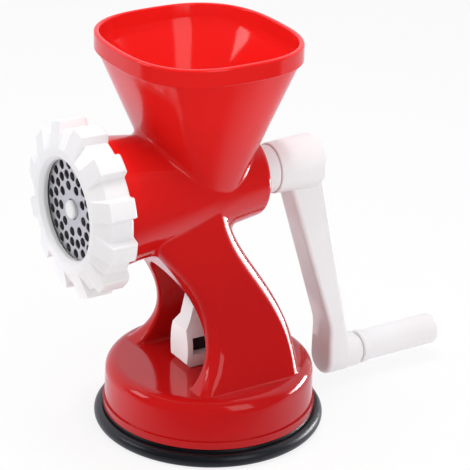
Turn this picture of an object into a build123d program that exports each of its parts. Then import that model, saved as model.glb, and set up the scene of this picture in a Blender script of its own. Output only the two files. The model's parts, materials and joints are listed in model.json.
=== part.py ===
from build123d import *
import math
import os

# Hand crank meat grinder on a suction base.
# X runs along the barrel, from the plate (minus) to the crank (plus). Z is up.
# The origin is the middle of the suction pad's underside, on the table.
# All sizes are in millimetres, and angles in degrees.

# Fits
running_clearance = 0.06
seat_clearance = 0.05
free_clearance = 0.35
face_gap = 0.3

# Suction pad
pad_radius = 66.0
pad_edge_height = 2.4
pad_height = 10.2
pad_flat_margin = 1.6
pad_edge_rounding = 1.2
pad_ring_height = 4.0
pad_ring_width = 4.0

# Round base
base_radius = 60.8
base_lip_height = 4.2
base_lip_step = 1.0
base_draft = 0.7
base_top_height = 37.5
base_wall = 3.6
base_shoulder_radius = 7.0
stem_guide_radius = 7.5
stem_guide_length = 12.0

# Pedestal
foot_half_width = 46.5
leg_half_width = 31.0
leg_width_height = 84.0
ankle_half_width = 39.5
ankle_height = 47.0
waist_x = -18.9
waist_height = 60.0
toe_x = -33.0
brow_x = -24.7
brow_height = 85.0
crown_front_x = -62.0
neck_front_x = -47.0
neck_back_x = 2.5
neck_height = 118.0
crown_rise = 51.55
nape_x = 15.0
nape_height = 98.0
back_bulge_x = 27.0
back_bulge_height = 78.5
heel_x = 36.5
leg_front_rounding = 7.5
leg_back_rounding = 9.0
neck_rounding = 5.5
foot_rounding = 2.0

# Arch through the pedestal
arch_foot_half_width = 30.5
arch_knee_half_width = 25.7
arch_knee_height = 60.0
arch_half_width = 19.6
arch_spring_height = 86.0
arch_rise = 15.5
arch_edge_rounding = 1.6

# Barrel
axis_height = 145.75
barrel_front_x = -72.0
barrel_rear_x = 24.0
barrel_front_radius = 36.8
barrel_rear_radius = 23.8
barrel_rim_rounding = 3.0
barrel_end_wall = 8.0
bore_front_radius = 29.5
bore_rear_radius = 19.2
boss_radius = 13.5
boss_length = 3.5
sleeve_radius = 36.0
sleeve_length = 12.5
plate_seat_depth = 2.4

# Hopper
hopper_center_x = -10.8
hopper_half_x = 51.1
hopper_half_y = 54.2
hopper_height = 231.4
hopper_squareness = 2.7
hopper_lip_height = 10.0
hopper_lip_step = 1.5
hopper_lip_wall = 2.6
hopper_lip_rounding = 1.2
hopper_lip_foot_rounding = 0.8
hopper_mouth_rounding = 0.9
hopper_bowl_rounding = 24.0
hopper_corner_rounding = 3.0
funnel_wall = 2.8
funnel_foot_depth = 5.75
funnel_foot_half_x = 15.6
funnel_foot_half_y = 24.4
throat_rise = 4.25
throat_half_x = 17.0
throat_half_y = 21.5
outline_points = 24

# Plate
plate_radius = 31.0
plate_thickness = 5.0
plate_hole_radius = 2.5
plate_stud_hole_radius = 5.7
plate_inner_ring_radius = 12.9
plate_inner_ring_count = 9
plate_middle_ring_radius = 18.9
plate_outer_ring_radius = 24.6
plate_ring_count = 18
plate_ring_turn = -11.0
plate_key_width = 4.0
plate_key_depth = 2.4

# Ring nut
nut_length = 19.6
nut_lip_thickness = 5.1
nut_opening_radius = 27.4
nut_body_radius = 43.3
nut_tooth_radius = 48.2
nut_tooth_count = 12
nut_tooth_angle = 16.0
nut_tooth_tip_angle = 12.5
nut_tooth_phase = 18.4
nut_face_radius = 34.0
nut_tooth_slope = 4.0
nut_gap_slope = 5.6
nut_back_bevel = 1.2
nut_opening_flare = 2.4

# Knife
knife_radius = 27.5
knife_thickness = 7.0
knife_hub_radius = 9.5
knife_blade_width = 9.0
knife_tip_width = 6.5
knife_blade_count = 4
knife_square = 9.0
knife_bevel = 2.5

# Auger and its drive
auger_core_front_radius = 8.5
auger_core_rear_radius = 11.5
auger_flight_gap = 0.8
auger_flight_turns = 2.5
auger_flight_angle = 62.0
auger_flight_tip_angle = 34.0
auger_flange_thickness = 3.0
stud_radius = 5.2
stud_proud = 1.8
stud_bevel = 0.8
journal_radius = 9.0
washer_thickness = 2.0
bush_wall = 2.0
bush_flange_radius = 13.5
bush_flange_thickness = 8.7
shank_square = 9.0
shank_inset = 36.0
shank_hub_depth = 21.5

# Crank
hub_front_radius = 14.5
hub_rear_radius = 15.8
hub_length = 29.5
hub_rounding = 2.5
hub_front_rounding = 0.8
crank_length = 127.75
arm_top_width = 16.6
arm_end_radius = 10.8
arm_top_inner_x = 43.0
arm_top_outer_x = 67.0
arm_bottom_outer_x = 94.6
arm_knee_rise = 22.0
arm_knee_rounding = 30.0
arm_rounding = 2.5
handle_boss_radius = 10.4
handle_boss_x = 76.7
handle_boss_length = 23.0
screw_recess_radius = 8.0
screw_recess_depth = 5.0
screw_radius = 2.9
screw_head_radius = 5.6
screw_head_height = 3.2
screw_grip_length = 14.0
screw_slot_width = 1.4
screw_slot_depth = 1.4
crank_washer_radius = 7.2
crank_washer_thickness = 1.2

# Handle
axle_radius = 3.5
axle_boss_depth = 17.0
axle_head_radius = 5.6
axle_head_height = 2.6
axle_washer_radius = 6.4
axle_washer_thickness = 1.0
collar_radius = 8.2
collar_thickness = 3.0
grip_radius = 9.2
grip_flange_radius = 9.9
grip_flange_length = 4.0
grip_length = 54.0
grip_rounding = 1.6
grip_pocket_radius = 6.8
grip_pocket_depth = 9.5
grip_cap_thickness = 3.2
grip_cap_rounding = 0.8

# Suction lever and stem
lift_height = 4.0
lever_swing = 85.0
pivot_height = 50.7
pull_plate_radius = 38.0
pull_plate_thickness = 3.0
stem_radius = 3.4
stem_collar_radius = 8.0
stem_collar_height = 2.0
stem_head_front = 13.2
stem_head_back = 8.0
stem_head_height = 10.5
stem_head_width = 7.0
lever_pin_radius = 2.5
lever_front_x = -20.0
lever_half_width = 9.6
lever_foot_half_width = 7.6
lever_belly_height = 47.0
lever_brow_height = 61.0
lever_neck_height = 66.0
lever_neck_x = -16.2
lever_tongue_half_width = 5.5
lever_tongue_lean = 4.2
lever_tongue_thickness = 7.5
lever_top_height = 84.0
lever_tongue_rounding = 2.5
lever_toe = 2.5
lever_shell = 3.8
lever_shell_angle = 50.0
window_front_x = -16.5
window_back_x = -5.0
cam_points = 7

# Places worked out along the barrel
sleeve_front_x = barrel_front_x - sleeve_length
plate_back_x = sleeve_front_x + plate_seat_depth
plate_front_x = plate_back_x - plate_thickness
nut_front_x = plate_front_x - face_gap - nut_lip_thickness
bore_end_x = barrel_rear_x - barrel_end_wall
boss_end_x = barrel_rear_x + boss_length
hub_front_x = boss_end_x + bush_flange_thickness + face_gap
hub_rear_x = hub_front_x + hub_length
knife_front_x = plate_back_x + face_gap
knife_back_x = knife_front_x + knife_thickness
washer_front_x = bore_end_x - washer_thickness
auger_rear_x = washer_front_x - face_gap
bush_radius = journal_radius + running_clearance + bush_wall
shank_rear_x = hub_front_x + shank_hub_depth
recess_x = hub_rear_x - screw_recess_depth

# Places worked out along the handle
handle_height = axis_height - crank_length
boss_rear_x = handle_boss_x + handle_boss_length
collar_rear_x = boss_rear_x + collar_thickness
grip_front_x = collar_rear_x + face_gap
grip_rear_x = grip_front_x + grip_length
pocket_x = grip_rear_x - grip_pocket_depth
barrel_axis = Axis((0, 0, axis_height), (1, 0, 0))


def rod_x(radius, start, end, y=0.0, z=axis_height):
    """A round bar along X from start to end."""
    bar = Cylinder(radius, end - start, align=(Align.CENTER, Align.CENTER, Align.MIN))
    return Pos(start, y, z) * Rot(0, 90, 0) * bar


def rod_y(radius, half_length, x, z):
    """A round bar along Y, centred on the middle plane."""
    return Pos(x, 0, z) * Rot(90, 0, 0) * Cylinder(radius, 2 * half_length)


def square_x(side, start, end):
    """A square bar along the barrel's axis."""
    bar = Box(end - start, side, side, align=(Align.MIN, Align.CENTER, Align.CENTER))
    return Pos(start, 0, axis_height) * bar


def turned_z(points):
    """A solid turned about the upright axis from (radius, height) points."""
    return revolve(Plane.XZ * make_face(Polyline(*points, close=True)), axis=Axis.Z)


def turned_x(points):
    """A solid turned about the barrel's axis from (x, radius) points."""
    lowered = [(x, axis_height - radius) for x, radius in points]
    return revolve(Plane.XZ * make_face(Polyline(*lowered, close=True)), axis=barrel_axis)


def hopper_outline(half_x, half_y, height):
    """A rounded square outline of the hopper at one height."""
    power = 2.0 / hopper_squareness
    points = []
    for step in range(outline_points):
        angle = 2.0 * math.pi * step / outline_points
        c = math.cos(angle)
        s = math.sin(angle)
        x = hopper_center_x + half_x * math.copysign(abs(c) ** power, c)
        y = half_y * math.copysign(abs(s) ** power, s)
        points.append((x, y))
    return Pos(0, 0, height) * make_face(Spline(*points, periodic=True))


def bore_radius_at(x):
    """Radius of the tapered barrel bore at a place along X."""
    share = (x - plate_back_x) / (bore_end_x - plate_back_x)
    return bore_front_radius + share * (bore_rear_radius - bore_front_radius)


def make_base():
    """Hollow round base with a lip, a rounded shoulder and a guide for the stem."""
    lip_top = pad_height + base_lip_height
    side = base_radius - base_lip_step
    shell = turned_z([
        (0, pad_height),
        (base_radius, pad_height),
        (base_radius, lip_top),
        (side, lip_top),
        (side - base_draft, base_top_height),
        (0, base_top_height),
    ])
    shoulder = shell.edges().filter_by(GeomType.CIRCLE).sort_by(Axis.Z)[-1]
    shell = fillet(shoulder, base_shoulder_radius)
    ceiling = base_top_height - base_wall
    hollow = turned_z([
        (0, pad_height),
        (side - base_wall, pad_height),
        (side - base_wall - base_draft, ceiling - base_wall),
        (side - base_wall - base_shoulder_radius, ceiling),
        (0, ceiling),
    ])
    guide = Pos(0, 0, ceiling) * Cylinder(
        stem_guide_radius, stem_guide_length, align=(Align.CENTER, Align.CENTER, Align.MAX)
    )
    return shell - hollow + guide


def barrel_radius_at(x):
    """Outer radius of the tapered barrel at a place along X."""
    share = (x - barrel_front_x) / (barrel_rear_x - barrel_front_x)
    return barrel_front_radius + share * (barrel_rear_radius - barrel_front_radius)


def through_y(face):
    """A face drawn in (x, z), pushed right across the object along Y."""
    return extrude(Plane.XZ.offset(-pad_radius) * face, 2 * pad_radius)


def through_x(face):
    """A face drawn in (y, z), pushed right through the object along X."""
    return extrude(Plane.YZ.offset(-pad_radius) * face, 2 * pad_radius)


def make_arch():
    """The space between the legs, open at the front and the back."""
    floor = base_top_height - base_wall
    right_side = ThreePointArc(
        (arch_foot_half_width, floor),
        (arch_knee_half_width, arch_knee_height),
        (arch_half_width, arch_spring_height),
    )
    crown = EllipticalCenterArc((0, arch_spring_height), arch_half_width, arch_rise, arc_size=180)
    outline = [
        right_side,
        crown,
        mirror(right_side, Plane.YZ),
        Line((-arch_foot_half_width, floor), (arch_foot_half_width, floor)),
    ]
    return through_x(make_face(outline))


def rises_from_foot(edge):
    """True for an edge that runs from the base up to the pedestal's neck."""
    box = edge.bounding_box()
    return box.min.Z < ankle_height and box.max.Z > brow_height


def make_pedestal():
    """Two legs that lean apart under the barrel, with an arch between them."""
    ground = base_top_height - base_wall / 2
    above = axis_height + barrel_rear_radius
    crown_height = neck_height + crown_rise
    side_face = make_face([
        Spline(
            (crown_front_x, crown_height),
            (neck_front_x, neck_height),
            (brow_x, brow_height),
            (waist_x, waist_height),
            (toe_x, ground),
        ),
        Line((toe_x, ground), (heel_x, ground)),
        Spline(
            (heel_x, ground),
            (back_bulge_x, back_bulge_height),
            (nape_x, nape_height),
            (neck_back_x, neck_height),
            (neck_back_x, crown_height),
        ),
        Line((neck_back_x, crown_height), (crown_front_x, crown_height)),
    ])
    crown_half_width = barrel_radius_at(neck_back_x)
    right_side = Spline(
        (foot_half_width, ground),
        (ankle_half_width, ankle_height),
        (leg_half_width, leg_width_height),
        (crown_half_width, axis_height),
        (bore_rear_radius, above),
    )
    front_face = make_face([
        right_side,
        mirror(right_side, Plane.YZ),
        Line((-foot_half_width, ground), (foot_half_width, ground)),
        Line((-bore_rear_radius, above), (bore_rear_radius, above)),
    ])
    legs = through_y(side_face) & through_x(front_face)
    corners = legs.edges().filter_by(lambda edge: rises_from_foot(edge) and edge.center().X > 0)
    legs = fillet(corners, leg_back_rounding)
    corners = legs.edges().filter_by(lambda edge: rises_from_foot(edge) and edge.center().X < waist_x)
    legs = fillet(corners, leg_front_rounding)
    crown = Box(2 * base_radius, 2 * base_radius, 2 * barrel_rear_radius,
                align=(Align.CENTER, Align.CENTER, Align.MIN))
    legs -= Pos(0, 0, axis_height) * crown
    legs -= make_arch()
    arch_edges = [
        edge for edge in legs.edges()
        if edge.center().X < waist_x / 2
        and edge.bounding_box().max.Y <= arch_foot_half_width
        and edge.bounding_box().min.Y >= -arch_foot_half_width
        and ankle_height < edge.bounding_box().max.Z < arch_spring_height + arch_rise + face_gap
    ]
    return fillet(arch_edges, arch_edge_rounding)


def make_barrel():
    """Tapered barrel with a sleeve for the ring nut and a rear bearing boss."""
    barrel = turned_x([
        (barrel_front_x, 0),
        (barrel_front_x, barrel_front_radius),
        (barrel_rear_x, barrel_rear_radius),
        (barrel_rear_x, 0),
    ])
    rim = barrel.edges().filter_by(GeomType.CIRCLE).sort_by(Axis.X)[-1]
    barrel = fillet(rim, barrel_rim_rounding)
    barrel += rod_x(sleeve_radius, sleeve_front_x, barrel_front_x)
    barrel += rod_x(boss_radius, barrel_rear_x - barrel_rim_rounding, boss_end_x)
    return barrel


def make_bore():
    """The space inside the barrel: plate seat, tapered bore and bush hole."""
    bore = turned_x([
        (plate_back_x, 0),
        (plate_back_x, bore_front_radius),
        (bore_end_x, bore_rear_radius),
        (bore_end_x, 0),
    ])
    seat = rod_x(plate_radius + free_clearance, sleeve_front_x, plate_back_x)
    key = make_key(plate_key_width, plate_key_depth, sleeve_front_x, plate_back_x)
    bush_hole = rod_x(bush_radius + seat_clearance, bore_end_x, boss_end_x)
    return bore + (seat - key) + bush_hole


def make_key(width, depth, start, end):
    """A small bar at the top of the plate's edge."""
    reach = plate_radius + free_clearance + face_gap
    bar = Box(end - start, width, depth + free_clearance + face_gap,
              align=(Align.MIN, Align.CENTER, Align.MAX))
    return Pos(start, 0, axis_height + reach) * bar


def make_hopper():
    """Outside of the hopper: a funnel that ends inside the barrel, with a lip band."""
    lip_bottom = hopper_height - hopper_lip_height
    upper = hopper_outline(hopper_half_x - hopper_lip_step, hopper_half_y - hopper_lip_step, lip_bottom)
    lower = hopper_outline(funnel_foot_half_x, funnel_foot_half_y, axis_height - funnel_foot_depth)
    lip = extrude(hopper_outline(hopper_half_x, hopper_half_y, lip_bottom), hopper_lip_height)
    lip = fillet(lip.edges().sort_by(Axis.Z)[-1], hopper_lip_rounding)
    lip = fillet(lip.edges().sort_by(Axis.Z)[0], hopper_lip_foot_rounding)
    return loft([lower, upper], ruled=True) + lip


def make_hopper_space():
    """Inside of the hopper, from the mouth down into the bore."""
    lip_bottom = hopper_height - hopper_lip_height
    step = hopper_lip_step + funnel_wall
    mouth = hopper_outline(
        hopper_half_x - hopper_lip_wall, hopper_half_y - hopper_lip_wall, hopper_height
    )
    upper = hopper_outline(hopper_half_x - step, hopper_half_y - step, lip_bottom)
    lower = hopper_outline(throat_half_x, throat_half_y, axis_height + throat_rise)
    space = loft([lower, upper], ruled=True) + loft([upper, mouth], ruled=True)
    bend = space.edges().filter_by_position(Axis.Z, lip_bottom - face_gap, lip_bottom + face_gap)
    return fillet(bend, hopper_bowl_rounding)


def make_head():
    """Barrel and hopper with a rounded corner where they meet."""
    head = make_barrel() + make_hopper()
    lip_bottom = hopper_height - hopper_lip_height
    corner = [
        edge for edge in head.edges()
        if edge.bounding_box().min.Z > axis_height
        and edge.bounding_box().max.Z < lip_bottom
        and edge.bounding_box().size.Y > barrel_rear_radius
    ]
    return fillet(corner, hopper_corner_rounding)


def runs_round_neck(edge):
    """True for an edge where the pedestal meets the underside of the barrel."""
    box = edge.bounding_box()
    if edge.geom_type == GeomType.LINE or box.max.Z > axis_height or box.min.Z < brow_height:
        return False
    for share in (0.2, 0.5, 0.8):
        point = edge.position_at(share)
        radius = math.hypot(point.Y, point.Z - axis_height)
        if abs(radius - barrel_radius_at(point.X)) > face_gap:
            return False
    return True


def make_body():
    """The red moulding: base, pedestal, barrel and hopper in one piece."""
    body = make_base() + make_pedestal()
    foot_edges = [
        edge for edge in body.edges()
        if abs(edge.center().Z - base_top_height) < face_gap
        and edge.bounding_box().size.Z < face_gap
        and edge.length > leg_back_rounding
        and edge.bounding_box().max.X < heel_x
        and abs(edge.center().Y) < foot_half_width
        and edge.bounding_box().size.Y < foot_half_width
    ]
    body = fillet(foot_edges, foot_rounding)
    body += make_head()
    body = fillet(body.edges().filter_by(runs_round_neck), neck_rounding)
    body -= make_bore()
    body -= make_hopper_space()
    rim_edges = body.edges().filter_by_position(Axis.Z, hopper_height - face_gap, hopper_height + face_gap)
    body = fillet(rim_edges.sort_by(SortBy.LENGTH)[0], hopper_mouth_rounding)
    stem_hole = Cylinder(
        stem_radius + running_clearance, base_top_height, align=(Align.CENTER, Align.CENTER, Align.MIN)
    )
    return body - Pos(0, 0, pad_height) * stem_hole


def make_ring_nut():
    """Clamp ring with teeth all round that start at the flat front face and slope back."""
    back_x = nut_front_x + nut_length
    inside = (nut_opening_radius + nut_face_radius) / 2
    teeth = turned_x([
        (nut_front_x, inside),
        (nut_front_x, nut_face_radius),
        (nut_front_x + nut_tooth_slope, nut_tooth_radius),
        (back_x - nut_back_bevel, nut_tooth_radius),
        (back_x, nut_tooth_radius - nut_back_bevel),
        (back_x, inside),
    ])
    base_half = math.radians(nut_tooth_angle / 2)
    tip_half = math.radians(nut_tooth_tip_angle / 2)
    reach = nut_tooth_radius / math.cos(tip_half)
    tooth = make_face(Polyline(
        (nut_body_radius * math.cos(base_half), -nut_body_radius * math.sin(base_half)),
        (reach * math.cos(tip_half), -reach * math.sin(tip_half)),
        (reach * math.cos(tip_half), reach * math.sin(tip_half)),
        (nut_body_radius * math.cos(base_half), nut_body_radius * math.sin(base_half)),
        (nut_opening_radius, nut_body_radius * math.sin(base_half)),
        (nut_opening_radius, -nut_body_radius * math.sin(base_half)),
        close=True,
    ))
    nut = turned_x([
        (nut_front_x + nut_opening_flare, nut_opening_radius),
        (nut_front_x, nut_opening_radius + nut_opening_flare),
        (nut_front_x, nut_face_radius),
        (nut_front_x + nut_gap_slope, nut_body_radius),
        (back_x, nut_body_radius),
        (back_x, nut_opening_radius),
    ])
    front = Plane(origin=(nut_front_x, 0, axis_height), x_dir=(0, 1, 0), z_dir=(1, 0, 0))
    for step in range(nut_tooth_count):
        turn = 180 - nut_tooth_phase + step * 360.0 / nut_tooth_count
        nut += teeth & extrude(front * Rot(0, 0, turn) * tooth, nut_length)
    return nut - rod_x(sleeve_radius + free_clearance, plate_front_x - face_gap, back_x)


def make_plate():
    """Grinding plate with three rings of holes and a notch for the key."""
    plate = rod_x(plate_radius, plate_front_x, plate_back_x)
    plate -= rod_x(plate_stud_hole_radius, plate_front_x, plate_back_x)
    rings = [
        (plate_inner_ring_radius, plate_inner_ring_count, plate_ring_turn),
        (plate_middle_ring_radius, plate_ring_count, plate_ring_turn),
        (plate_outer_ring_radius, plate_ring_count, plate_ring_turn + 180.0 / plate_ring_count),
    ]
    for radius, count, turn in rings:
        for step in range(count):
            angle = math.radians(turn + step * 360.0 / count)
            y = -radius * math.cos(angle)
            z = axis_height + radius * math.sin(angle)
            plate -= rod_x(plate_hole_radius, plate_front_x, plate_back_x, y, z)
    notch_width = plate_key_width + 2 * free_clearance
    plate -= make_key(notch_width, plate_key_depth + free_clearance, plate_front_x, plate_back_x)
    return plate


def make_knife():
    """Cross knife: four tapered blades round a hub with a square hole."""
    knife = rod_x(knife_hub_radius, knife_front_x, knife_back_x)
    blade_face = make_face(Polyline(
        (0, -knife_blade_width / 2),
        (knife_radius, -knife_tip_width / 2),
        (knife_radius, knife_tip_width / 2),
        (0, knife_blade_width / 2),
        close=True,
    ))
    blade = extrude(Plane.YZ * blade_face, knife_thickness)
    back_edges = blade.edges().filter_by_position(Axis.X, knife_thickness, knife_thickness)
    trailing = [edge for edge in back_edges if edge.center().Z < 0 and edge.length > knife_hub_radius]
    blade = chamfer(trailing, knife_bevel)
    for step in range(knife_blade_count):
        turn = step * 360.0 / knife_blade_count
        knife += Pos(knife_front_x, 0, axis_height) * Rot(turn, 0, 0) * blade
    return knife - square_x(knife_square + 2 * seat_clearance, knife_front_x, knife_back_x)


def make_auger():
    """Screw with a tapered core, a front stud and square, and a rear journal."""
    core = turned_x([
        (knife_back_x, 0),
        (knife_back_x, auger_core_front_radius),
        (auger_rear_x, auger_core_rear_radius),
        (auger_rear_x, 0),
    ])
    length = auger_rear_x - knife_back_x
    root = auger_core_front_radius / 2
    root_half = math.radians(auger_flight_angle / 2)
    tip_half = math.radians(auger_flight_tip_angle / 2)
    section = make_face(Polyline(
        (root * math.cos(root_half), -root * math.sin(root_half)),
        (bore_front_radius * math.cos(tip_half), -bore_front_radius * math.sin(tip_half)),
        (bore_front_radius * math.cos(tip_half), bore_front_radius * math.sin(tip_half)),
        (root * math.cos(root_half), root * math.sin(root_half)),
        close=True,
    ))
    start = Plane(origin=(knife_back_x, 0, axis_height), x_dir=(0, 1, 0), z_dir=(1, 0, 0))
    flight = Solid.extrude_linear_with_rotation(
        (start * section).face(), start.origin, (length, 0, 0), -360.0 * auger_flight_turns
    )
    envelope = turned_x([
        (knife_back_x, 0),
        (knife_back_x, bore_radius_at(knife_back_x) - auger_flight_gap),
        (auger_rear_x, bore_radius_at(auger_rear_x) - auger_flight_gap),
        (auger_rear_x, 0),
    ])
    auger = core + (flight & envelope)
    flange_radius = bore_radius_at(auger_rear_x) - auger_flight_gap
    auger += rod_x(flange_radius, auger_rear_x - auger_flange_thickness, auger_rear_x)
    auger += rod_x(journal_radius, auger_rear_x, hub_front_x)
    auger += square_x(knife_square, knife_front_x, knife_back_x)
    stud = rod_x(stud_radius, plate_front_x - stud_proud, knife_front_x)
    tip = stud.edges().filter_by(GeomType.CIRCLE).sort_by(Axis.X)[0]
    auger += chamfer(tip, stud_bevel)
    return auger - square_x(shank_square, auger_rear_x - shank_inset, hub_front_x)


def make_drive_shank():
    """Square steel bar from the auger's core into the crank hub, tapped at its end."""
    shank = square_x(shank_square, auger_rear_x - shank_inset, shank_rear_x)
    return shank - rod_x(screw_radius + seat_clearance, shank_rear_x - screw_grip_length, shank_rear_x)


def make_thrust_washer():
    """Flat washer between the auger's flange and the barrel's end wall."""
    washer = rod_x(bore_rear_radius - auger_flight_gap, washer_front_x, bore_end_x)
    return washer - rod_x(journal_radius + free_clearance, washer_front_x, bore_end_x)


def make_rear_bush():
    """Flanged bush in the rear boss, around the auger's journal."""
    bush = rod_x(bush_radius, bore_end_x, boss_end_x)
    bush += rod_x(bush_flange_radius, boss_end_x, boss_end_x + bush_flange_thickness)
    return bush - rod_x(journal_radius + running_clearance, bore_end_x, hub_front_x)


def make_arm():
    """Arm of the crank: it leans outwards, stands upright at its end and widens to a round foot."""
    bottom = handle_height - arm_end_radius
    knee_height = handle_height + arm_knee_rise
    side = through_y(make_face(Polyline(
        (arm_top_inner_x, axis_height),
        (handle_boss_x, knee_height),
        (handle_boss_x, bottom - arm_rounding),
        (arm_bottom_outer_x, bottom - arm_rounding),
        (arm_bottom_outer_x, bottom),
        (arm_top_outer_x, axis_height),
        close=True,
    )))
    knee = side.edges().filter_by(Axis.Y).sort_by_distance((handle_boss_x, 0, knee_height))[0]
    side = fillet(knee, arm_knee_rounding)
    left_edge = Line((-arm_top_width / 2, axis_height), (-arm_end_radius, handle_height))
    outline = make_face([
        left_edge,
        mirror(left_edge, Plane.YZ),
        ThreePointArc((-arm_end_radius, handle_height), (0, bottom), (arm_end_radius, handle_height)),
        Line((-arm_top_width / 2, axis_height), (arm_top_width / 2, axis_height)),
    ])
    arm = side & extrude(Plane.YZ.offset(hub_front_x) * outline, boss_rear_x - hub_front_x)
    rims = [
        edge for edge in arm.edges()
        if edge.bounding_box().min.Z < axis_height - arm_rounding
        and edge.bounding_box().size.Z > face_gap
    ]
    return fillet(rims, arm_rounding)


def make_crank_arm():
    """Crank: a hub, an arm that leans outwards and a boss for the handle."""
    hub = turned_x([
        (hub_front_x, 0),
        (hub_front_x, hub_front_radius),
        (hub_rear_x, hub_rear_radius),
        (hub_rear_x, 0),
    ])
    rims = hub.edges().filter_by(GeomType.CIRCLE).sort_by(Axis.X)
    hub = fillet(rims[-1], hub_rounding)
    rims = hub.edges().filter_by(GeomType.CIRCLE).sort_by(Axis.X)
    hub = fillet(rims[0], hub_front_rounding)
    boss = rod_x(handle_boss_radius, handle_boss_x + arm_rounding, boss_rear_x, z=handle_height)
    crank = hub + make_arm() + boss
    crank -= square_x(shank_square, hub_front_x, shank_rear_x + face_gap)
    crank -= rod_x(screw_radius + free_clearance, shank_rear_x, recess_x)
    crank -= rod_x(screw_recess_radius, recess_x, hub_rear_x + screw_recess_depth)
    axle_end = boss_rear_x - axle_boss_depth
    return crank - rod_x(axle_radius + seat_clearance, axle_end, boss_rear_x, z=handle_height)


def make_crank_washer():
    """Washer under the crank screw's head, at the bottom of the recess."""
    washer = rod_x(crank_washer_radius, recess_x, recess_x + crank_washer_thickness)
    return washer - rod_x(screw_radius + free_clearance, recess_x, recess_x + crank_washer_thickness)


def make_crank_screw():
    """Slotted screw that holds the crank on the drive shank."""
    seat = recess_x + crank_washer_thickness
    top = seat + screw_head_height
    screw = rod_x(screw_head_radius, seat, top)
    screw = chamfer(screw.edges().filter_by(GeomType.CIRCLE).sort_by(Axis.X)[-1], screw_slot_depth / 2)
    screw += rod_x(screw_radius, shank_rear_x - screw_grip_length + face_gap, seat)
    slot = Box(screw_slot_depth, 2 * screw_head_radius, screw_slot_width,
               align=(Align.MAX, Align.CENTER, Align.CENTER))
    return screw - Pos(top, 0, axis_height) * slot


def make_handle_axle():
    """Shoulder pin from the crank's boss through the grip, with a round head."""
    seat = pocket_x + face_gap + axle_washer_thickness
    axle = rod_x(axle_radius, boss_rear_x - axle_boss_depth, seat, z=handle_height)
    head = rod_x(axle_head_radius, seat, seat + axle_head_height, z=handle_height)
    head = fillet(head.edges().filter_by(GeomType.CIRCLE).sort_by(Axis.X)[-1], axle_head_height / 2)
    return axle + head


def make_axle_washer():
    """Washer between the grip's pocket and the axle's head."""
    start = pocket_x + face_gap
    end = start + axle_washer_thickness
    washer = rod_x(axle_washer_radius, start, end, z=handle_height)
    return washer - rod_x(axle_radius + seat_clearance, start, end, z=handle_height)


def make_handle_collar():
    """Spacer ring between the crank's boss and the grip."""
    collar = rod_x(collar_radius, boss_rear_x, collar_rear_x, z=handle_height)
    return collar - rod_x(axle_radius + seat_clearance, boss_rear_x, collar_rear_x, z=handle_height)


def make_handle_grip():
    """Round grip with a small flange at the crank's end and a pocket at the other."""
    grip = rod_x(grip_radius, grip_front_x, grip_rear_x, z=handle_height)
    grip = fillet(grip.edges().filter_by(GeomType.CIRCLE).sort_by(Axis.X)[-1], grip_rounding)
    flange = rod_x(grip_flange_radius, grip_front_x, grip_front_x + grip_flange_length, z=handle_height)
    flange = fillet(flange.edges().filter_by(GeomType.CIRCLE), grip_cap_rounding)
    grip += flange
    grip -= rod_x(axle_radius + running_clearance, grip_front_x, grip_rear_x, z=handle_height)
    return grip - rod_x(grip_pocket_radius, pocket_x, grip_rear_x, z=handle_height)


def make_grip_cap():
    """Plug that closes the grip's end over the axle's head."""
    cap = rod_x(grip_pocket_radius - seat_clearance, grip_rear_x - grip_cap_thickness, grip_rear_x,
                z=handle_height)
    return fillet(cap.edges().filter_by(GeomType.CIRCLE).sort_by(Axis.X)[-1], grip_cap_rounding)


def make_suction_pad():
    """Rubber pad with a thin flared edge and a ring that locates it in the base."""
    ring_outer = base_radius - base_lip_step - base_wall - free_clearance
    ring_top = pad_height + pad_ring_height
    pad = turned_z([
        (0, 0),
        (pad_radius - pad_flat_margin, 0),
        (pad_radius, pad_edge_height),
        (base_radius, pad_height),
        (ring_outer, pad_height),
        (ring_outer, ring_top),
        (ring_outer - pad_ring_width, ring_top),
        (ring_outer - pad_ring_width, pad_height),
        (0, pad_height),
    ])
    outer_edge = pad.edges().filter_by(GeomType.CIRCLE).sort_by(SortBy.RADIUS)[-1]
    return fillet(outer_edge, pad_edge_rounding)


def make_pull_plate():
    """Stiff disc on top of the pad, which the stem lifts."""
    plate = Cylinder(pull_plate_radius, pull_plate_thickness, align=(Align.CENTER, Align.CENTER, Align.MIN))
    hole = Cylinder(stem_radius + seat_clearance, pull_plate_thickness,
                    align=(Align.CENTER, Align.CENTER, Align.MIN))
    return Pos(0, 0, pad_height) * (plate - hole)


def make_pull_stem():
    """Stem from the pull plate up through the base, with a flat head for the pin."""
    upright = (Align.CENTER, Align.CENTER, Align.MIN)
    head_bottom = pivot_height - stem_head_height / 2
    stem = Pos(0, 0, pad_height) * Cylinder(stem_radius, head_bottom - pad_height, align=upright)
    stem += Pos(0, 0, pad_height + pull_plate_thickness) * Cylinder(
        stem_collar_radius, stem_collar_height, align=upright
    )
    head = Box(stem_head_front + stem_head_back, stem_head_width, stem_head_height,
               align=(Align.MIN, Align.CENTER, Align.MIN))
    stem += Pos(-stem_head_front, 0, head_bottom) * head
    return stem - rod_y(lever_pin_radius + seat_clearance, stem_head_width, 0, pivot_height)


def make_lever_pin():
    """Cross pin that carries the lever on the stem's head."""
    return rod_y(lever_pin_radius, lever_half_width - face_gap, 0, pivot_height)


def cam_point(turn):
    """Edge of the lever's cam that faces down when the lever has turned so far."""
    rise = lift_height / math.radians(lever_swing)
    reach = pivot_height - base_top_height - face_gap + rise * turn
    x = reach * math.sin(turn) + rise * math.cos(turn)
    z = pivot_height - reach * math.cos(turn) + rise * math.sin(turn)
    return (x, z)


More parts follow.
